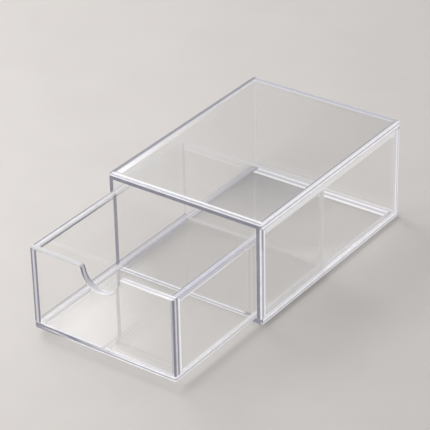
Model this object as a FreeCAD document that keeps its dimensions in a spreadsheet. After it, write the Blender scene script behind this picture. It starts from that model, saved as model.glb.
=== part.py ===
import FreeCAD, Part
import Sketcher
import os

# Stackable drawer box of clear acrylic sheet, in millimetres.
# Origin: the middle of the face that the case stands on. +Z is up, -Y is the open front.
# The case is five cemented sheets, open at the front. The drawer is five more, open at the
# top, and slides in the case. At rest it stands part way out, as it does in use.

# Driving sizes. Each stands on its own, and every other size is worked out from them.
SIZES = {
    "case_width": 150.0,      # outside, left to right
    "case_depth": 208.0,      # outside, front to back
    "case_height": 93.0,      # outside, bottom to top
    "case_sheet": 5.0,        # thickness of the sheets of the case
    "case_corner": 2.5,       # rounding of the upright outer corners of the case
    "case_edge": 1.0,         # polished rounding round its top and underside
    "drawer_sheet": 5.0,      # thickness of the sheets of the drawer
    "drawer_corner": 2.5,     # rounding of the upright outer corners of the drawer
    "drawer_edge": 1.0,       # polished rounding round its rim and underside
    "side_gap": 0.6,          # running gap at each side of the drawer
    "floor_gap": 0.4,         # running gap under the drawer
    "headroom": 8.8,          # gap between the drawer's rim and the case top
    "back_gap": 0.5,          # gap behind the drawer when it is shut, its front flush
    "drawer_open": 107.8,     # how far the drawer stands out of the case at rest
    "notch_radius": 18.0,     # half round finger notch in the drawer front
    "notch_shoulder": 2.5,    # rounding where the notch runs out at the rim
}
SAME_PLACE = 0.001            # edges and sides closer than this are in the same place

doc = FreeCAD.newDocument("StackableDrawerBox")
table = doc.addObject("Spreadsheet::Sheet", "Sizes")
for row, (alias, value) in enumerate(SIZES.items(), start=1):
    table.set(f"A{row}", alias)
    table.set(f"B{row}", str(value))
    table.setAlias(f"B{row}", alias)
doc.recompute()

# Places and sizes that follow from the driving ones, as expressions on the table's cells.
CASE_LEFT = "-Sizes.case_width / 2"
CASE_FRONT = "-Sizes.case_depth / 2"
CASE_INNER_WIDTH = "Sizes.case_width - 2 * Sizes.case_sheet"
CASE_WALL_HEIGHT = "Sizes.case_height - 2 * Sizes.case_sheet"
DRAWER_WIDTH = "Sizes.case_width - 2 * (Sizes.case_sheet + Sizes.side_gap)"
DRAWER_DEPTH = "Sizes.case_depth - Sizes.case_sheet - Sizes.back_gap"
DRAWER_SIDE_DEPTH = f"{DRAWER_DEPTH} - 2 * Sizes.drawer_sheet"
DRAWER_LEFT = f"-({DRAWER_WIDTH}) / 2"
DRAWER_FRONT = f"{CASE_FRONT} - Sizes.drawer_open"
DRAWER_UNDERSIDE = "Sizes.case_sheet + Sizes.floor_gap"
DRAWER_FLOOR = f"{DRAWER_UNDERSIDE} + Sizes.drawer_sheet"
DRAWER_RIM = "Sizes.case_height - Sizes.case_sheet - Sizes.headroom"
DRAWER_WALL_HEIGHT = f"{DRAWER_RIM} - ({DRAWER_FLOOR})"


def add_sketch(body, purpose, role):
    """Put an empty sketch on one of the body's own origin planes."""
    sketch = body.newObject("Sketcher::SketchObject", f"{body.Label}_{purpose}")
    plane = next(item for item in body.Origin.OriginFeatures if item.Role == role)
    sketch.AttachmentSupport = [(plane, "")]
    sketch.MapMode = "FlatFace"
    return sketch


def cut_sheet(name, role, across, up, thick, place):
    """Make one flat rectangular sheet as a body, and put its low corner in its place."""
    body = doc.addObject("PartDesign::Body", name)
    body.Label = name
    sketch = add_sketch(body, "outline", role)
    corners = [FreeCAD.Vector(x, y) for x, y in ((0, 0), (1, 0), (1, 1), (0, 1))]
    for start, end in zip(corners, corners[1:] + corners[:1]):
        sketch.addGeometry(Part.LineSegment(start, end), False)
    for line, run in enumerate(("Horizontal", "Vertical", "Horizontal", "Vertical")):
        sketch.addConstraint(Sketcher.Constraint("Coincident", line, 2, (line + 1) % 4, 1))
        sketch.addConstraint(Sketcher.Constraint(run, line))
    sketch.addConstraint(Sketcher.Constraint("Coincident", 0, 1, -1, 1))
    width = sketch.addConstraint(Sketcher.Constraint("DistanceX", 0, 1, 0, 2, 1))
    height = sketch.addConstraint(Sketcher.Constraint("DistanceY", 1, 1, 1, 2, 1))
    sketch.setExpression(f"Constraints[{width}]", across)
    sketch.setExpression(f"Constraints[{height}]", up)
    pad = body.newObject("PartDesign::Pad", f"{name}_pad")
    pad.Profile = sketch
    pad.Reversed = role == "XZ_Plane"
    pad.setExpression("Length", thick)
    for axis, formula in zip("xyz", place):
        body.setExpression(f"Placement.Base.{axis}", formula)
    doc.recompute()
    return body


def lies_on(edge, side, whole):
    """Say whether an edge lies wholly on one side of a bounding box, such as ZMax."""
    far = side[0] + ("Min" if side.endswith("Max") else "Max")
    return abs(getattr(edge.BoundBox, far) - getattr(whole, side)) < SAME_PLACE


def runs_along(edge, axis):
    """Say whether an edge is a straight one along X, Y or Z."""
    lengths = {name: getattr(edge.BoundBox, f"{name}Length") for name in "XYZ"}
    return all((lengths[name] > SAME_PLACE) == (name == axis) for name in "XYZ")


def round_edges(body, radius, sides=(), along=None, but_not=()):
    """Fillet the sheet's edges that lie on any of the sides and run along the axis named."""
    sheet = body.Tip
    whole = sheet.Shape.optimalBoundingBox(False)
    names = []
    for number, edge in enumerate(sheet.Shape.Edges, start=1):
        chosen = not sides or any(lies_on(edge, side, whole) for side in sides)
        left_out = any(lies_on(edge, side, whole) for side in but_not)
        if chosen and not left_out and (along is None or runs_along(edge, along)):
            names.append(f"Edge{number}")
    fillet = body.newObject("PartDesign::Fillet", f"{body.Label}_rounding")
    fillet.Base = (sheet, names)
    fillet.setExpression("Radius", radius)
    doc.recompute()


def cut_notch(body):
    """Cut the half round finger notch down from the middle of a wall's rim."""
    before = body.Shape.Volume
    sketch = add_sketch(body, "notch_outline", "XZ_Plane")
    sketch.addGeometry(Part.Circle(FreeCAD.Vector(0, 0), FreeCAD.Vector(0, 0, 1), 1), False)
    across = sketch.addConstraint(Sketcher.Constraint("DistanceX", -1, 1, 0, 3, 1))
    up = sketch.addConstraint(Sketcher.Constraint("DistanceY", -1, 1, 0, 3, 1))
    radius = sketch.addConstraint(Sketcher.Constraint("Radius", 0, 1))
    sketch.setExpression(f"Constraints[{across}]", f"({DRAWER_WIDTH}) / 2")
    sketch.setExpression(f"Constraints[{up}]", DRAWER_WALL_HEIGHT)
    sketch.setExpression(f"Constraints[{radius}]", "Sizes.notch_radius")
    pocket = body.newObject("PartDesign::Pocket", f"{body.Label}_notch")
    pocket.Profile = sketch
    pocket.Type = "ThroughAll"
    doc.recompute()
    if body.Shape.Volume >= before:
        raise RuntimeError("the finger notch cuts nothing out of the drawer front")


# The case: its bottom and top sheets take the whole outline, and the walls stand between them.
case_bottom = cut_sheet("case_bottom", "XY_Plane", "Sizes.case_width", "Sizes.case_depth",
                        "Sizes.case_sheet", (CASE_LEFT, CASE_FRONT, "0"))
case_top = cut_sheet("case_top", "XY_Plane", "Sizes.case_width", "Sizes.case_depth",
                     "Sizes.case_sheet",
                     (CASE_LEFT, CASE_FRONT, "Sizes.case_height - Sizes.case_sheet"))
case_left = cut_sheet("case_left", "YZ_Plane", "Sizes.case_depth", CASE_WALL_HEIGHT,
                      "Sizes.case_sheet", (CASE_LEFT, CASE_FRONT, "Sizes.case_sheet"))
case_right = cut_sheet("case_right", "YZ_Plane", "Sizes.case_depth", CASE_WALL_HEIGHT,
                       "Sizes.case_sheet",
                       ("Sizes.case_width / 2 - Sizes.case_sheet", CASE_FRONT,
                        "Sizes.case_sheet"))
case_back = cut_sheet("case_back", "XZ_Plane", CASE_INNER_WIDTH, CASE_WALL_HEIGHT,
                      "Sizes.case_sheet",
                      (f"-({CASE_INNER_WIDTH}) / 2",
                       "Sizes.case_depth / 2 - Sizes.case_sheet", "Sizes.case_sheet"))

round_edges(case_bottom, "Sizes.case_corner", along="Z")
round_edges(case_bottom, "Sizes.case_edge", sides=["ZMin"])
round_edges(case_top, "Sizes.case_corner", along="Z")
round_edges(case_top, "Sizes.case_edge", sides=["ZMax"])
round_edges(case_left, "Sizes.case_corner", sides=["XMin"], along="Z")
round_edges(case_right, "Sizes.case_corner", sides=["XMax"], along="Z")

# The drawer: the walls stand on the bottom sheet, with the side walls between front and back.
drawer_bottom = cut_sheet("drawer_bottom", "XY_Plane", DRAWER_WIDTH, DRAWER_DEPTH,
                          "Sizes.drawer_sheet", (DRAWER_LEFT, DRAWER_FRONT, DRAWER_UNDERSIDE))
drawer_front = cut_sheet("drawer_front", "XZ_Plane", DRAWER_WIDTH, DRAWER_WALL_HEIGHT,
                         "Sizes.drawer_sheet", (DRAWER_LEFT, DRAWER_FRONT, DRAWER_FLOOR))
drawer_back = cut_sheet("drawer_back", "XZ_Plane", DRAWER_WIDTH, DRAWER_WALL_HEIGHT,
                        "Sizes.drawer_sheet",
                        (DRAWER_LEFT,
                         f"{DRAWER_FRONT} + {DRAWER_DEPTH} - Sizes.drawer_sheet",
                         DRAWER_FLOOR))
drawer_left = cut_sheet("drawer_left", "YZ_Plane", DRAWER_SIDE_DEPTH, DRAWER_WALL_HEIGHT,
                        "Sizes.drawer_sheet",
                        (DRAWER_LEFT, f"{DRAWER_FRONT} + Sizes.drawer_sheet", DRAWER_FLOOR))
drawer_right = cut_sheet("drawer_right", "YZ_Plane", DRAWER_SIDE_DEPTH, DRAWER_WALL_HEIGHT,
                         "Sizes.drawer_sheet",
                         (f"({DRAWER_WIDTH}) / 2 - Sizes.drawer_sheet",
                          f"{DRAWER_FRONT} + Sizes.drawer_sheet", DRAWER_FLOOR))

round_edges(drawer_bottom, "Sizes.drawer_corner", along="Z")
round_edges(drawer_bottom, "Sizes.drawer_edge", sides=["ZMin"])
round_edges(drawer_front, "Sizes.drawer_corner", sides=["YMin"], along="Z")
cut_notch(drawer_front)
round_edges(drawer_front, "Sizes.notch_shoulder", sides=["ZMax"], along="Y",
            but_not=["XMin", "XMax"])
round_edges(drawer_front, "Sizes.drawer_edge", sides=["ZMax"], but_not=["YMax"])
round_edges(drawer_back, "Sizes.drawer_corner", sides=["YMax"], along="Z")
round_edges(drawer_back, "Sizes.drawer_edge", sides=["ZMax"], but_not=["YMin"])
round_edges(drawer_left, "Sizes.drawer_edge", sides=["ZMax"], along="Y", but_not=["XMax"])
round_edges(drawer_right, "Sizes.drawer_edge", sides=["ZMax"], along="Y", but_not=["XMin"])

# Every object must have computed, and every sheet must be one whole solid.
doc.recompute()
for item in doc.Objects:
    if "Invalid" in item.State or "Error" in item.State:
        raise RuntimeError(f"{item.Label} did not compute: {item.State}")
sheets = [item for item in doc.Objects if item.TypeId == "PartDesign::Body"]
for body in sheets:
    shape = body.Shape
    if shape.isNull() or not shape.isValid() or len(shape.Solids) != 1:
        raise RuntimeError(f"{body.Label} is not one valid solid")

os.makedirs("parts", exist_ok=True)
for body in sheets:
    body.Shape.exportStep(f"parts/{body.Label}.step")
    box = body.Shape.optimalBoundingBox(False)
    print(f"{body.Label}: {box.XMin:.2f} to {box.XMax:.2f}, {box.YMin:.2f} to {box.YMax:.2f}, "
          f"{box.ZMin:.2f} to {box.ZMax:.2f}, {body.Shape.Volume:.0f} cubic mm")
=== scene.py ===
import math
from collections import namedtuple

import bmesh
import bpy
from mathutils import Matrix, Vector


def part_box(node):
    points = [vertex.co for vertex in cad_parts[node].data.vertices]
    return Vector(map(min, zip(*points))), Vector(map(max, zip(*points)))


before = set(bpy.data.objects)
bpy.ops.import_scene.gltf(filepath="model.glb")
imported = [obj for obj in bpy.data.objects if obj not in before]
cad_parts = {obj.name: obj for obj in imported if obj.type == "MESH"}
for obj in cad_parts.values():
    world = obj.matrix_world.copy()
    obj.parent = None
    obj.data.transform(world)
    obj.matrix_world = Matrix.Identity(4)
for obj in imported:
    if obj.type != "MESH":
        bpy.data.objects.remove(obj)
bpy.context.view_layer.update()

# ---- The case's bottom sheet ----
# Clear cast acrylic, 5 mm thick, sawn to the outline of the case, its cut edges polished and its
# outer corners rounded. The walls stand on it, each held by a film of clear cement.
# Tones of the painted lines on cut edges: painted dark lines of shade and painted white lines of
# light, standing in for the reflections of light led through the sheet.
EDGE_DARK = (0.22, 0.22, 0.275)
EDGE_GREY = (0.46, 0.46, 0.53)
EDGE_LAVENDER = (0.58, 0.57, 0.64)
EDGE_PALE = (0.68, 0.67, 0.70)
EDGE_WHITE = (0.98, 0.97, 1.0)
# How much painted light an edge shows, from painted shade at DIM to painted light at LIT. Each
# level has its own row of painted lines in the two tables below.
DIM, SHADED, SPLIT, LIT = 0.0, 1 / 3, 2 / 3, 1.0
WALL_EDGE_LINES = (
    ((0.00, EDGE_GREY), (0.12, EDGE_GREY), (0.22, EDGE_DARK), (0.88, EDGE_DARK), (1.00, EDGE_GREY)),
    ((0.00, EDGE_DARK), (0.26, EDGE_DARK), (0.36, EDGE_PALE), (0.64, EDGE_PALE),
     (0.74, EDGE_DARK), (1.00, EDGE_DARK)),
    ((0.00, EDGE_GREY), (0.10, EDGE_GREY), (0.16, EDGE_WHITE), (0.32, EDGE_WHITE),
     (0.42, EDGE_DARK), (1.00, EDGE_DARK)),
    ((0.00, EDGE_WHITE), (0.28, EDGE_WHITE), (0.38, EDGE_GREY), (0.54, EDGE_GREY),
     (0.62, EDGE_WHITE), (0.92, EDGE_WHITE), (1.00, EDGE_GREY)))
LIP_LINES = (
    ((0.00, EDGE_DARK), (0.30, EDGE_DARK), (0.42, EDGE_PALE), (0.62, EDGE_PALE),
     (0.74, EDGE_DARK), (1.00, EDGE_DARK)),
    ((0.00, EDGE_DARK), (0.34, EDGE_DARK), (0.46, EDGE_PALE), (1.00, EDGE_PALE)),
    ((0.00, EDGE_LAVENDER), (0.80, EDGE_LAVENDER), (0.90, EDGE_DARK), (1.00, EDGE_DARK)),
    ((0.00, EDGE_WHITE), (0.26, EDGE_WHITE), (0.38, EDGE_LAVENDER), (0.62, EDGE_LAVENDER),
     (0.74, EDGE_WHITE), (1.00, EDGE_WHITE)))
# The share of each edge tone below is a painted glow, emission that stands in for light led along
# the sheet; the faint tones carry a painted glow too.
PAINTED_GLOW_SHARE = 0.70
FAINT_COLOUR, FAINT_GLOW = (0.10, 0.098, 0.098, 1), (0.49, 0.479, 0.479, 1)
GRAIN_SCALE, GRAIN_DETAIL = 160.0, 2.0
GRAIN_RANGE, GRAIN_TONES = (0.3, 0.7), (0.93, 1.07)


class Nodes:
    """The nodes of one material or group, each added and wired in a line."""

    def __init__(self, tree):
        self.tree = tree

    def add(self, kind, **settings):
        made = self.tree.nodes.new(kind)
        for key, value in settings.items():
            setattr(made, key, value)
        return made

    def plug(self, made, values):
        for key, value in values.items():
            if isinstance(value, bpy.types.NodeSocket):
                self.tree.links.new(value, made.inputs[key])
            else:
                made.inputs[key].default_value = value
        return made

    def maths(self, operation, *values):
        made = self.add("ShaderNodeMath", operation=operation)
        return self.plug(made, dict(enumerate(values))).outputs[0]

    def between(self, value, low, high, to_low=0.0, to_high=1.0, soft=False):
        made = self.add("ShaderNodeMapRange", interpolation_type="SMOOTHSTEP" if soft else "LINEAR")
        return self.plug(made, {"Value": value, "From Min": low, "From Max": high,
                                "To Min": to_low, "To Max": to_high}).outputs["Result"]

    def facing(self, vector, direction):
        made = self.add("ShaderNodeVectorMath", operation="DOT_PRODUCT")
        return self.plug(made, {0: vector, 1: direction}).outputs["Value"]

    def scaled(self, vector, factor):
        made = self.add("ShaderNodeVectorMath", operation="SCALE")
        return self.plug(made, {0: vector, "Scale": factor}).outputs[0]

    def blend(self, share, first, second):
        made = self.add("ShaderNodeMix", data_type="RGBA")
        return self.plug(made, {0: share, 6: first, 7: second}).outputs[2]

    def noise(self, place, scale, detail):
        made = self.add("ShaderNodeTexNoise")
        return self.plug(made, {"Vector": place, "Scale": scale, "Detail": detail}).outputs["Fac"]

    def ramp(self, place, stops):
        made = self.plug(self.add("ShaderNodeValToRGB"), {"Fac": place})
        elements = made.color_ramp.elements
        while len(elements) < len(stops):
            elements.new(1.0)
        for element, (position, colour) in zip(elements, stops):
            element.position = position
            element.color = (*colour, 1)
        return made.outputs["Color"]

    def along(self, place, low, high, levels):
        """One level, or a tuple of levels spread evenly from low to high."""
        if not isinstance(levels, tuple):
            return levels
        steps = len(levels) - 1
        return self.ramp(self.between(place, low, high),
                         [(k / steps, (level, level, level)) for k, level in enumerate(levels)])


def start_group(name, inputs, outputs):
    """An empty group with its sockets, its nodes, and the two ends that they are wired to."""
    group = bpy.data.node_groups.new(name, "ShaderNodeTree")
    for in_out, sockets in (("INPUT", inputs), ("OUTPUT", outputs)):
        for label, kind in sockets:
            group.interface.new_socket(label, in_out=in_out, socket_type="NodeSocket" + kind)
    nodes = Nodes(group)
    return group, nodes, nodes.add("NodeGroupInput").outputs, nodes.add("NodeGroupOutput")


def split_light(nodes, result, tone, clearness):
    """Part of a tone is colour that takes the light falling on the edge, and part is a painted
    glow, emission that stands in for light led along the sheet.
    """
    for label, share, faint in (("Colour", 1.0 - PAINTED_GLOW_SHARE, FAINT_COLOUR),
                                ("Glow", PAINTED_GLOW_SHARE, FAINT_GLOW)):
        nodes.plug(result, {label: nodes.blend(clearness, faint, nodes.scaled(tone, share))})


def make_painted_edge_light():
    """The painted lines on a cut edge, from the outer arris at 0 to the inner one at 1: painted
    light and painted reflection that stand in for light led through the sheet. Lit runs from the
    painted dark lines of an edge in shade to the painted white ones of a lit edge, Lip is 1 on an
    edge that looks up or down, and Strength is how clear the lines are."""
    group, nodes, given, result = start_group(
        "painted_edge_light", (("Across", "Float"), ("Lit", "Float"), ("Lip", "Float"),
                          ("Strength", "Float")), (("Colour", "Color"), ("Glow", "Color")))
    tones = []
    for lines in (WALL_EDGE_LINES, LIP_LINES):
        tone = nodes.ramp(given["Across"], lines[0])
        steps = len(lines) - 1
        for k, stops in enumerate(lines[1:]):
            reached = nodes.between(given["Lit"], k / steps, (k + 1) / steps)
            tone = nodes.blend(reached, tone, nodes.ramp(given["Across"], stops))
        tones.append(tone)
    place = nodes.add("ShaderNodeTexCoord").outputs["Object"]
    grain = nodes.between(nodes.noise(place, GRAIN_SCALE, GRAIN_DETAIL), *GRAIN_RANGE,
                          *GRAIN_TONES)
    split_light(nodes, result, nodes.scaled(nodes.blend(given["Lip"], *tones), grain),
                given["Strength"])
    return group


def make_painted_reflection_band(name, stops):
    """A painted reflection: the mirror image of a cut edge inside the sheet, painted on its face as
    a band beside the edge.
    """
    group, nodes, given, result = start_group(
        name, (("Across", "Float"),), (("Colour", "Color"), ("Glow", "Color")))
    split_light(nodes, result, nodes.ramp(given["Across"], stops), 1.0)
    return group


SMUDGE_SCALE, SMUDGE_DETAIL = 9.0, 3.0
SMUDGE_RANGE, SMUDGE_ROUGHNESS = (0.45, 0.75), 0.02
HAIRLINE_STRETCH, HAIRLINE_DETAIL = (6.0, 240.0, 240.0), 2.0
HAIRLINE_RANGE, HAIRLINE_ROUGHNESS = (0.62, 0.72), 0.015


def make_wiped_face():
    """The faint smudges of handling and the hairlines of wiping on a polished face."""
    group, nodes, given, result = start_group(
        "wiped_face", (("Wear", "Float"),), (("Roughness", "Float"),))
    place = nodes.add("ShaderNodeTexCoord").outputs["Object"]
    stretched = nodes.plug(nodes.add("ShaderNodeMapping"),
                           {"Vector": place, "Scale": HAIRLINE_STRETCH}).outputs[0]
    smudges = nodes.between(nodes.noise(place, SMUDGE_SCALE, SMUDGE_DETAIL), *SMUDGE_RANGE,
                            0.0, SMUDGE_ROUGHNESS)
    hairlines = nodes.between(nodes.noise(stretched, 1.0, HAIRLINE_DETAIL), *HAIRLINE_RANGE,
                              0.0, HAIRLINE_ROUGHNESS)
    nodes.plug(result, {"Roughness": nodes.maths(
        "MULTIPLY", nodes.maths("ADD", smudges, hairlines), given["Wear"])})
    return group


painted_edge_light = make_painted_edge_light()
wiped_face = make_wiped_face()
# The looks of the painted reflections of cut edges, painted on the faces as bands.
painted_reflection_bands = {
    "thin_dark_line": make_painted_reflection_band("thin_dark_line", (
        (0.00, EDGE_LAVENDER), (0.55, EDGE_LAVENDER), (0.68, EDGE_DARK), (1.00, EDGE_DARK))),
    "white_lavender_white": make_painted_reflection_band("white_lavender_white", (
        (0.00, EDGE_WHITE), (0.26, EDGE_WHITE), (0.36, EDGE_LAVENDER), (0.58, EDGE_LAVENDER),
        (0.68, EDGE_WHITE), (1.00, EDGE_WHITE))),
    "pale": make_painted_reflection_band("pale", ((0.00, EDGE_LAVENDER), (1.00, EDGE_PALE)))}
REFRACTIVE_INDEX = 1.49
EDGE_ROUGHNESS = 0.3
EDGE_COVER = 0.93
EDGE_LETS_THROUGH = 0.72
FACE_LETS_THROUGH = 0.975
ARRIS_BLUR = 0.001
SEAM_OVERLAP = 0.00002
# Each pair says where a change starts and ends. The first four are cosines of the angle to a
# side: from face to cut edge, from an edge's rounding to a face that can show a band, from one
# edge to the next, and from an upright edge to a lip. BAND_STARTS and BAND_ENDS are shares of a
# band's width, and MID_SHEET of the sheet's thickness.
FACE_TO_EDGE, BAND_TO_FACE = (0.99, 0.85), (0.9, 0.98)
EDGE_TURNS, LIP_TURNS = (0.3, 0.9), (0.6, 0.9)
BAND_STARTS, BAND_ENDS, MID_SHEET = (0.0, 0.04), (1.0, 0.92), (0.4, 0.6)
LEAST_SHARE = 0.1
FACE_WEAR = 1.0
INNER, OUTER = 0, 1
SIDES = {"left": (-1, 0, 0), "right": (1, 0, 0), "front": (0, -1, 0), "back": (0, 1, 0),
         "below": (0, 0, -1), "above": (0, 0, 1)}
# The painted lines on a cut edge: the painted light that it shows and how clear they are.
Lines = namedtuple("Lines", "light clearness")
# A painted reflection band: its edge, the face that it is painted on, where it starts and ends in
# from the edge, the gap at both its ends, its look, and how clear it is. Lengths are in metres.
Band = namedtuple("Band", "side face start end gap look clearness")
# A corner of painted shade, where the clear face is painted darker: where it is, how far the
# painted shade reaches, and its tones on the way.
PaintedShadeCorner = namedtuple("PaintedShadeCorner", "corner reach tones")


def axis_of(side):
    return [abs(part) for part in SIDES[side]].index(1)


def axis_along(outside, side):
    """The axis that a sheet's edge runs along: the third one, as the three indexes add up to 3."""
    return 3 - axis_of(outside) - axis_of(side)


def dress(name, outside, edges, bands=(), lets_through=FACE_LETS_THROUGH, painted_shade=None):
    """Give a sheet clear faces and polished cut edges painted with lines of painted light and
    shade, and let the cement reach its neighbours. outside is the side that its outer face looks
    to, edges gives the Lines of each cut edge, bands lists the painted reflection bands, and the
    last argument is a corner of painted shade, given as in the namedtuple above. lets_through is
    the share of the lamps' light that goes through a face. A tuple of levels runs along the edge,
    or up the sheet."""
    low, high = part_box(name)
    material = bpy.data.materials.new(name + "_acrylic")
    material.use_nodes = True
    nodes = Nodes(material.node_tree)
    point = nodes.add("ShaderNodeTexCoord").outputs["Object"]
    place = nodes.plug(nodes.add("ShaderNodeSeparateXYZ"), {0: point}).outputs
    geometry = nodes.add("ShaderNodeNewGeometry").outputs
    # Where a ray meets a face from inside the sheet, the normal is turned outwards again.
    normal = nodes.scaled(geometry["Normal"],
                          nodes.maths("MULTIPLY_ADD", geometry["Backfacing"], -2.0, 1.0))

    axis = axis_of(outside)
    if SIDES[outside][axis] > 0:
        across = nodes.between(place[axis], high[axis], low[axis])
    else:
        across = nodes.between(place[axis], low[axis], high[axis])
    flatness = nodes.maths("ABSOLUTE", nodes.facing(normal, SIDES[outside]))
    cover = nodes.between(flatness, *FACE_TO_EDGE, 0.0, EDGE_COVER, soft=True)
    lit, strength, total = 0.0, 0.0, 0.0
    for side, (light, clearness) in edges.items():
        share = nodes.between(nodes.facing(normal, SIDES[side]), *EDGE_TURNS)
        run = axis_along(outside, side)
        ends = place[run], low[run], high[run]
        lit = nodes.maths("MULTIPLY_ADD", share, nodes.along(*ends, light), lit)
        strength = nodes.maths("MULTIPLY_ADD", share, nodes.along(*ends, clearness), strength)
        total = nodes.maths("ADD", share, total)
    total = nodes.maths("MAXIMUM", total, LEAST_SHARE)
    upright = nodes.maths("ABSOLUTE", nodes.facing(normal, SIDES["above"]))
    lines = nodes.plug(nodes.add("ShaderNodeGroup", node_tree=painted_edge_light), {
        "Across": across, "Lip": nodes.between(upright, *LIP_TURNS),
        "Lit": nodes.maths("DIVIDE", lit, total),
        "Strength": nodes.maths("DIVIDE", strength, total)}).outputs
    colour, glow = lines["Colour"], lines["Glow"]

    # Each band paints a reflection of a cut edge on a face.
    for side, face, start, end, gap, look, clearness in bands:
        side_axis, run = axis_of(side), axis_along(outside, side)
        inward = -SIDES[side][side_axis]
        arris = low[side_axis] if inward > 0 else high[side_axis]
        depth = nodes.between(place[side_axis], arris + inward * start, arris + inward * end)
        limits = [nodes.between(depth, *BAND_STARTS), nodes.between(depth, *BAND_ENDS),
                  nodes.between(across, *MID_SHEET, face, OUTER - face),
                  nodes.between(place[run], low[run] + gap, low[run] + gap + ARRIS_BLUR),
                  nodes.between(place[run], high[run] - gap, high[run] - gap - ARRIS_BLUR),
                  nodes.between(flatness, *BAND_TO_FACE)]
        shown = limits[0]
        for limit in limits[1:]:
            shown = nodes.maths("MULTIPLY", shown, limit)
        band = nodes.plug(nodes.add("ShaderNodeGroup", node_tree=painted_reflection_bands[look]),
                          {"Across": depth}).outputs
        colour = nodes.blend(shown, colour, band["Colour"])
        glow = nodes.blend(shown, glow, band["Glow"])
        clearness = nodes.along(place[run], low[run], high[run], clearness)
        cover = nodes.maths("MAXIMUM", cover, nodes.maths("MULTIPLY", shown, clearness))

    clear = nodes.plug(material.node_tree.nodes["Principled BSDF"], {
        "Base Color": (1, 1, 1, 1), "IOR": REFRACTIVE_INDEX, "Transmission Weight": 1.0,
        "Roughness": nodes.plug(nodes.add("ShaderNodeGroup", node_tree=wiped_face),
                                {"Wear": FACE_WEAR}).outputs["Roughness"]})
    # Painted shade: the clear face is tinted darker towards the corner.
    if painted_shade:
        corner, reach, tones = painted_shade
        away = nodes.plug(nodes.add("ShaderNodeVectorMath", operation="DISTANCE"),
                          {0: point, 1: corner}).outputs["Value"]
        nodes.plug(clear, {"Base Color": nodes.ramp(nodes.between(away, 0.0, reach), tones)})
    # The edge's painted lines are its base colour, and its painted glow is emission.
    edge = nodes.plug(nodes.add("ShaderNodeBsdfPrincipled"), {
        "Base Color": colour, "Roughness": EDGE_ROUGHNESS,
        "Emission Color": glow, "Emission Strength": 1.0})
    straight = nodes.plug(nodes.add("ShaderNodeBsdfTransparent"), {"Color": nodes.between(
        cover, 0.0, 1.0, nodes.along(place[2], low[2], high[2], lets_through),
        EDGE_LETS_THROUGH)})
    # Light for the floor and the shadows goes straight on, and every other ray meets glass.
    path = nodes.add("ShaderNodeLightPath").outputs
    seen = nodes.plug(nodes.add("ShaderNodeMixShader"),
                      {0: cover, 1: clear.outputs[0], 2: edge.outputs[0]})
    whole = nodes.plug(nodes.add("ShaderNodeMixShader"), {
        0: nodes.maths("MAXIMUM", path["Is Shadow Ray"], path["Is Diffuse Ray"]),
        1: seen.outputs[0], 2: straight.outputs[0]})
    nodes.plug(material.node_tree.nodes["Material Output"], {"Surface": whole.outputs[0]})

    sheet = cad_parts[name]
    sheet.data.materials.clear()
    sheet.data.materials.append(material)
    seam = sheet.modifiers.new("seam", "DISPLACE")
    seam.mid_level = 0
    seam.strength = SEAM_OVERLAP


# Its front edge is painted with lit lines, but for the last stretch at the near corner, which is
# painted dim. Painted reflections run as bands inside its back, right and left edges, and its
# back left corner is painted darker, as painted shade where the two walls meet.
dress("case_bottom", "below",
      {"front": Lines((LIT,) * 13 + (DIM,) * 2, 0.9), "left": Lines(DIM, 0.8),
       "right": Lines(LIT, 1.0), "back": Lines(LIT, 1.0)},
      bands=(Band("back", INNER, start=0.0060, end=0.0160, gap=0.008,
                  look="white_lavender_white", clearness=(0.8, 0.95)),
             Band("right", INNER, start=0.0055, end=0.0095, gap=0.006,
                  look="pale", clearness=0.6),
             Band("left", INNER, start=0.0055, end=0.0110, gap=0.006,
                  look="thin_dark_line", clearness=0.5)),
      painted_shade=PaintedShadeCorner((-0.07, 0.099, 0.0), reach=0.10, tones=(
          (0.0, (0.50, 0.50, 0.51)), (0.4, (0.72, 0.72, 0.73)), (1.0, (1, 1, 1)))))

# ---- The case's top sheet ----
# The same sheet again, lying on the side walls and the back wall and cemented to them. Painted
# reflections of the edges run as bands just inside its front, left, right and back edges, with a
# painted sheen inside the left one, and its back right corner is painted darker, as a painted
# darker reflection.
EDGE_MILKY = (0.76, 0.75, 0.78)
painted_reflection_bands["white"] = make_painted_reflection_band("white", (
    (0.00, EDGE_GREY), (0.16, EDGE_GREY), (0.30, EDGE_WHITE), (1.00, EDGE_WHITE)))
painted_reflection_bands["sheen"] = make_painted_reflection_band("sheen", (
    (0.00, EDGE_PALE), (0.30, EDGE_WHITE), (1.00, EDGE_WHITE)))
painted_reflection_bands["dark_line"] = make_painted_reflection_band("dark_line", (
    (0.00, EDGE_PALE), (0.40, EDGE_PALE), (0.52, EDGE_DARK), (1.00, EDGE_DARK)))
painted_reflection_bands["pale_grey_milky"] = make_painted_reflection_band("pale_grey_milky", (
    (0.00, EDGE_PALE), (0.15, EDGE_PALE), (0.28, EDGE_GREY), (0.62, EDGE_GREY),
    (0.75, EDGE_MILKY), (1.00, EDGE_MILKY)))
dress("case_top", "above",
      {"front": Lines(SPLIT, 1.0), "left": Lines(SHADED, 0.8), "right": Lines(LIT, 1.0),
       "back": Lines(SHADED, 0.6)},
      bands=(Band("front", OUTER, start=0.0006, end=0.0038, gap=0.002,
                  look="white", clearness=0.85),
             Band("left", OUTER, start=0.0045, end=0.0105, gap=0.0045,
                  look="sheen", clearness=(0.85, 0.25, 0.0, 0.0)),
             Band("right", OUTER, start=0.0008, end=0.0034, gap=0.003,
                  look="dark_line", clearness=0.8),
             Band("back", OUTER, start=0.0010, end=0.0080, gap=0.004,
                  look="pale_grey_milky", clearness=0.55)),
      lets_through=0.98,
      painted_shade=PaintedShadeCorner((0.075, 0.104, 0.093), reach=0.22, tones=(
          (0.0, (0.85, 0.85, 0.85)), (0.6, (0.92, 0.92, 0.92)), (1.0, (1, 1, 1)))))

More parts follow.
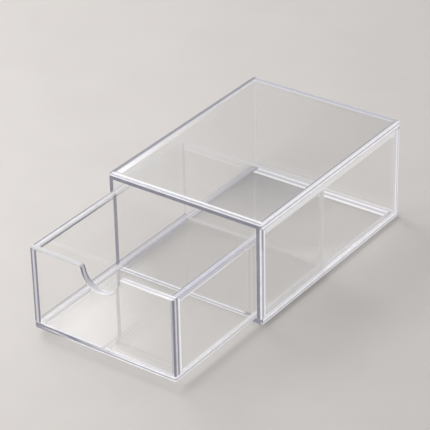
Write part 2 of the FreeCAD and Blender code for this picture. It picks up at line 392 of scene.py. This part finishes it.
# ---- The case's left wall ----
# A clear sheet that stands between the bottom and the top, cemented to both. Its polished front
# edge is painted with dark lines of painted shade: the dark upright at the left of the case's
# mouth.
dress("case_left", "left",
      {"front": Lines(DIM, 1.0), "back": Lines(LIT, 0.4), "above": Lines(SHADED, 0.8),
       "below": Lines(SHADED, 1.0)},
      lets_through=0.935)

# ---- The case's right wall ----
# The same sheet on the other side. Its front edge is painted half white and half dark, as painted
# light and shade, and its far edge is painted with bright lines: the bright upright at the right
# of the case. A painted sheen and painted reflections run as bands inside its top, front and back
# edges.
painted_reflection_bands["grey_white"] = make_painted_reflection_band("grey_white", (
    (0.00, EDGE_GREY), (0.50, EDGE_GREY), (0.62, EDGE_WHITE), (1.00, EDGE_WHITE)))
painted_reflection_bands["fine_lines"] = make_painted_reflection_band("fine_lines", (
    (0.00, EDGE_WHITE), (0.22, EDGE_WHITE), (0.30, EDGE_LAVENDER), (0.38, EDGE_LAVENDER),
    (0.46, EDGE_WHITE), (0.60, EDGE_WHITE), (0.68, EDGE_LAVENDER), (0.74, EDGE_LAVENDER),
    (0.82, EDGE_MILKY), (1.00, EDGE_MILKY)))
dress("case_right", "right",
      {"front": Lines(SPLIT, 1.0), "back": Lines((LIT, LIT, SPLIT), 0.9),
       "above": Lines(LIT, 1.0), "below": Lines(LIT, 0.8)},
      bands=(Band("above", OUTER, start=0.0, end=0.0058, gap=0.006,
                  look="sheen", clearness=0.45),
             Band("front", OUTER, start=0.0005, end=0.0050, gap=0.001,
                  look="grey_white", clearness=0.9),
             Band("back", OUTER, start=0.0004, end=0.0100, gap=0.002,
                  look="fine_lines", clearness=0.85)),
      lets_through=(1.0, 0.93, 0.82))

# ---- The case's back wall ----
# A clear sheet cemented between the side walls, the bottom and the top. It closes the case, and
# the drawer stops just short of it.
# Its cut edges are painted with lines of painted light.
dress("case_back", "back",
      {"left": Lines(LIT, 0.9), "right": Lines(0.9, 0.8), "above": Lines(SPLIT, 0.5),
       "below": Lines(LIT, 1.0)})

# ---- The drawer's floor sheet ----
# A clear sheet that takes the drawer's whole outline. The four walls stand on it, and it slides
# on the case's bottom. Its front edge is painted with lit lines on its right half and dim ones on
# its left, and a painted reflection of a dark line runs inside its left edge.
dress("drawer_bottom", "below",
      {"front": Lines((DIM, 0.75, LIT, LIT), 1.0), "left": Lines(SHADED, (0.35, 0.5, 0.8)),
       "right": Lines(LIT, (0.75, 0.75, 0.0, 0.0)), "back": Lines(SPLIT, 0.0)},
      bands=(Band("left", INNER, start=0.0050, end=0.0095, gap=0.006,
                  look="thin_dark_line", clearness=(0.35, 0.5, 0.45, 0.45)),),
      lets_through=0.99)

# ---- The drawer's front ----
# A clear sheet as wide as the drawer, cemented on the floor sheet. The half round finger notch is
# cut down from its top edge, with eased shoulders, and polished as the edges are.
# Its cut edges are painted with dark lines of painted shade, turning to painted light towards the
# right along its top and bottom, and a painted reflection runs inside its left edge.
painted_reflection_bands["dark_pale_dark"] = make_painted_reflection_band("dark_pale_dark", (
    (0.00, EDGE_DARK), (0.36, EDGE_DARK), (0.46, EDGE_PALE), (0.68, EDGE_PALE),
    (0.76, EDGE_DARK), (1.00, EDGE_DARK)))
dress("drawer_front", "front",
      {"left": Lines(SHADED, 1.0), "right": Lines(SHADED, 1.0),
       "above": Lines((SHADED, SHADED, LIT, LIT, LIT), (0.25, 0.25, 0.5, 0.5, 0.8)),
       "below": Lines((SHADED, 0.75, LIT, LIT), 0.6)},
      bands=(Band("left", OUTER, start=0.0002, end=0.0070, gap=0.001,
                  look="dark_pale_dark", clearness=0.9),))

# ---- The drawer's back ----
# The same sheet without a notch, at the drawer's far end. It stands deep in the case, where its
# edges are painted as no more than faint lines with a faint painted glow.
dress("drawer_back", "back",
      {side: Lines(SPLIT, 0.0) for side in ("left", "right", "above", "below")})

# ---- The drawer's left wall ----
# A clear sheet cemented between the front, the back and the floor sheet. Its rim is painted with
# dark lines of painted shade and a painted reflection of a dark line, and these fade where the
# drawer goes into the case.
dress("drawer_left", "left",
      {"front": Lines(SHADED, 1.0), "back": Lines(SPLIT, 0.0),
       "above": Lines(SHADED, (1.0, 1.0, 0.0, 0.0)), "below": Lines(SHADED, (0.3, 0.5, 0.8))},
      bands=(Band("above", INNER, start=0.0002, end=0.0038, gap=0.0,
                  look="dark_line", clearness=(0.9, 0.9, 0.0, 0.0)),
             Band("below", INNER, start=0.0, end=0.0055, gap=0.0,
                  look="thin_dark_line", clearness=(0.35, 0.45, 0.4, 0.4))),
      lets_through=0.955)

# ---- The drawer's right wall ----
# The same sheet on the other side. Its rim is painted pale lavender, with a painted white line
# below it, as painted light that stands in for light led along it, and both fade into the case. A
# painted white reflection runs inside its front edge.
painted_reflection_bands["lavender_white"] = make_painted_reflection_band("lavender_white", (
    (0.00, EDGE_LAVENDER), (0.70, EDGE_LAVENDER), (0.80, EDGE_WHITE), (1.00, EDGE_WHITE)))
dress("drawer_right", "right",
      {"front": Lines(SPLIT, 0.3), "back": Lines(SPLIT, 0.0),
       "above": Lines(SPLIT, (1.0, 1.0, 0.0, 0.0)), "below": Lines(LIT, (0.6, 0.6, 0.0, 0.0))},
      bands=(Band("above", OUTER, start=0.0004, end=0.0050, gap=0.0,
                  look="lavender_white", clearness=(0.9, 0.9, 0.0, 0.0)),
             Band("front", OUTER, start=0.0002, end=0.0030, gap=0.001,
                  look="white", clearness=0.9)),
      lets_through=0.90)

# ---- The floor ----
# A wide sheet of warm grey paper, matt and very slightly mottled. It holds the box's soft shadow.
FLOOR_HALF, FLOOR_DROP = 6.0, 0.0001
PAPER_ROUGHNESS, PAPER_GLOSS = 0.9, 0.2
PAPER_DARKER, PAPER_LIGHTER = (0.611, 0.581, 0.563, 1), (0.629, 0.599, 0.579, 1)
MOTTLE_SCALE, MOTTLE_DETAIL, MOTTLE_RANGE = 14.0, 5.0, (0.35, 0.65)
paper = bpy.data.materials.new("floor_paper")
paper.use_nodes = True
paper_nodes = Nodes(paper.node_tree)
mottle = paper_nodes.noise(paper_nodes.add("ShaderNodeTexCoord").outputs["Object"],
                           MOTTLE_SCALE, MOTTLE_DETAIL)
paper_nodes.plug(paper.node_tree.nodes["Principled BSDF"], {
    "Base Color": paper_nodes.blend(paper_nodes.between(mottle, *MOTTLE_RANGE), PAPER_DARKER,
                                    PAPER_LIGHTER),
    "Roughness": PAPER_ROUGHNESS, "Specular IOR Level": PAPER_GLOSS})
floor_mesh = bpy.data.meshes.new("floor")
shape = bmesh.new()
bmesh.ops.create_grid(shape, x_segments=1, y_segments=1, size=FLOOR_HALF,
                      matrix=Matrix.Translation((0, 0, -FLOOR_DROP)))
shape.to_mesh(floor_mesh)
shape.free()
floor_mesh.materials.append(paper)
floor = bpy.data.objects.new("floor", floor_mesh)
bpy.context.scene.collection.objects.link(floor)

# ---- The light ----
# A large soft lamp to the left and a small weak one near the front left corner, in a pale studio.
# The studio is brighter behind the box, where a pane mirrors in the top and the drawer's floor.
STUDIO_BASE = 0.33
# A pane's azimuth, elevation, radius and softness are in degrees, and added is its brightness.
Pane = namedtuple("Pane", "azimuth elevation radius softness added")
STUDIO_PANES = (Pane(-32, 30, radius=20, softness=30, added=0.26),
                Pane(-50, 33, radius=7.5, softness=3, added=2.3))
Lamp = namedtuple("Lamp", "name stand size watts")
LAMPS = (Lamp("side_lamp", (-1.50, 0.40, 1.556), size=1.0, watts=28.3),
         Lamp("front_lamp", (-0.372, -0.443, 0.689), size=0.4, watts=2.8))
LAMP_AIM = Vector((0, -0.05, 0.04))
studio = bpy.data.worlds.new("studio")
studio.use_nodes = True
bpy.context.scene.world = studio
studio_nodes = Nodes(studio.node_tree)
direction = studio_nodes.add("ShaderNodeTexCoord").outputs["Generated"]
brightness = STUDIO_BASE
for azimuth, elevation, radius, softness, added in STUDIO_PANES:
    azimuth, elevation = math.radians(azimuth), math.radians(elevation)
    centre = (math.sin(azimuth) * math.cos(elevation), math.cos(azimuth) * math.cos(elevation),
              math.sin(elevation))
    pane = studio_nodes.between(studio_nodes.facing(direction, centre),
                                math.cos(math.radians(radius + softness)),
                                math.cos(math.radians(radius)), 0.0, added, soft=True)
    brightness = studio_nodes.maths("ADD", brightness, pane)
studio_nodes.plug(studio.node_tree.nodes["Background"],
                  {"Color": (1, 1, 1, 1), "Strength": brightness})
for name, stand, size, watts in LAMPS:
    lamp_data = bpy.data.lights.new(name, "AREA")
    lamp_data.size = size
    lamp_data.energy = watts
    lamp = bpy.data.objects.new(name, lamp_data)
    lamp.location = stand
    lamp.rotation_euler = (LAMP_AIM - lamp.location).to_track_quat("-Z", "Y").to_euler()
    bpy.context.scene.collection.objects.link(lamp)

# ---- The camera ----
# A long lens above and to the right of the front, turned slightly about its axis as in the photo.
CAMERA_PLACE, LENS, SENSOR, FAR_CLIP = (0.8628, -1.2513, 0.9187), 175.7, 36, 20
CAMERA_AZIMUTH, CAMERA_ELEVATION, CAMERA_ROLL = 35.944, 30.387, -1.185
azimuth, elevation, roll = (math.radians(angle) for angle in (
    CAMERA_AZIMUTH, CAMERA_ELEVATION, CAMERA_ROLL))
backward = Vector((math.sin(azimuth) * math.cos(elevation),
                   -math.cos(azimuth) * math.cos(elevation), math.sin(elevation)))
right = Vector((math.cos(azimuth), math.sin(azimuth), 0))
up = backward.cross(right)
camera_data = bpy.data.cameras.new("camera")
camera_data.lens = LENS
camera_data.sensor_width = SENSOR
camera_data.clip_end = FAR_CLIP
camera = bpy.data.objects.new("camera", camera_data)
bpy.context.scene.collection.objects.link(camera)
placed = Matrix((right * math.cos(roll) + up * math.sin(roll),
                 up * math.cos(roll) - right * math.sin(roll), backward)).transposed().to_4x4()
placed.translation = CAMERA_PLACE
camera.matrix_world = placed
bpy.context.scene.camera = camera

# ---- The view ----
# Clear sheets one behind another need many bounces, and no clamp on the light that they lead.
SHEET_BOUNCES, MIRROR_BOUNCES, ROOM_BOUNCES = 48, 24, 12
bpy.context.scene.view_settings.view_transform = "Standard"
cycles = bpy.context.scene.cycles
cycles.max_bounces = SHEET_BOUNCES
cycles.transmission_bounces = SHEET_BOUNCES
cycles.transparent_max_bounces = SHEET_BOUNCES
cycles.glossy_bounces = MIRROR_BOUNCES
cycles.diffuse_bounces = ROOM_BOUNCES
cycles.caustics_refractive = True
cycles.caustics_reflective = True
cycles.blur_glossy = 0.0
cycles.sample_clamp_indirect = 0
